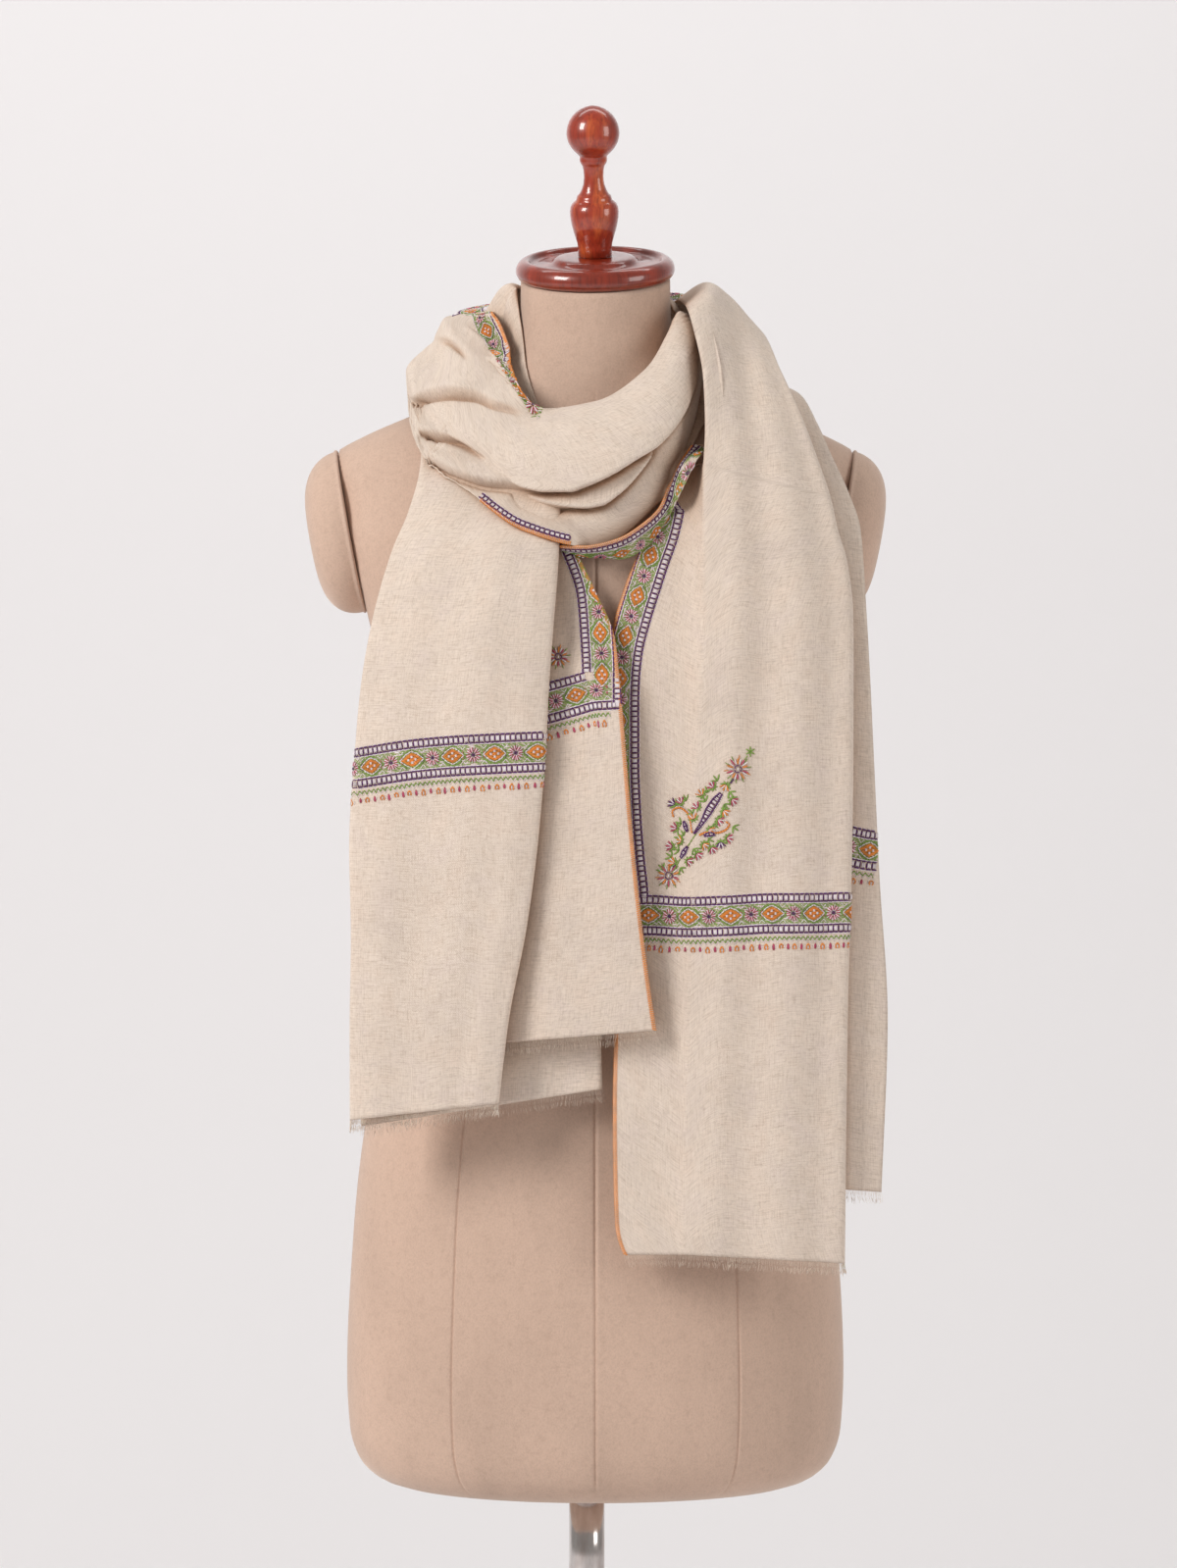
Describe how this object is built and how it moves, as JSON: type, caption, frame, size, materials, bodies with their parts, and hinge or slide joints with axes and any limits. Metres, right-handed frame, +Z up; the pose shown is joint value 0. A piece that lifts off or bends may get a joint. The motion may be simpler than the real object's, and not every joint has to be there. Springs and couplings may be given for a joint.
{
  "type": "pashmina shawl on a dress form",
  "caption": "Fine cream shawl with embroidered borders and short fringe, wound round the neck of a limbless dress form on a pole and round base, its tails hanging in front.",
  "frame": {"origin": "centre of the base's underside, on the pole's axis", "axes": "+Z up along the pole, the wearer's front and both tails towards -Y, the longer tail towards +X"},
  "size_m": [0.4006, 0.37, 1.5307],
  "materials": {
    "jersey": "matt stretch velvet over a padded shell",
    "turned_wood": "gloss lacquer",
    "chrome": "polished",
    "base_metal": "satin",
    "pashmina": "fine twill with a soft nap",
    "fringe": "loose yarn"
  },
  "bodies": {
    "root": {"form_torso": "jersey", "form_cap_left": "jersey", "form_cap_right": "jersey", "neck_plate": "turned_wood", "finial": "turned_wood", "stand_collar": "chrome", "stand_pole": "chrome", "stand_base": "base_metal", "left_tail_front": "pashmina", "left_tail_side": "pashmina", "left_tail_back": "pashmina", "right_tail_front": "pashmina", "right_tail_back": "pashmina", "neck_inner": "pashmina", "neck_cowl": "pashmina", "neck_nape": "pashmina", "cowl_turned_edge": "pashmina", "fringe_left_front": "fringe", "fringe_left_side": "fringe", "fringe_left_back": "fringe", "fringe_right_front": "fringe", "fringe_right_back": "fringe"}
  },
  "joints": []
}
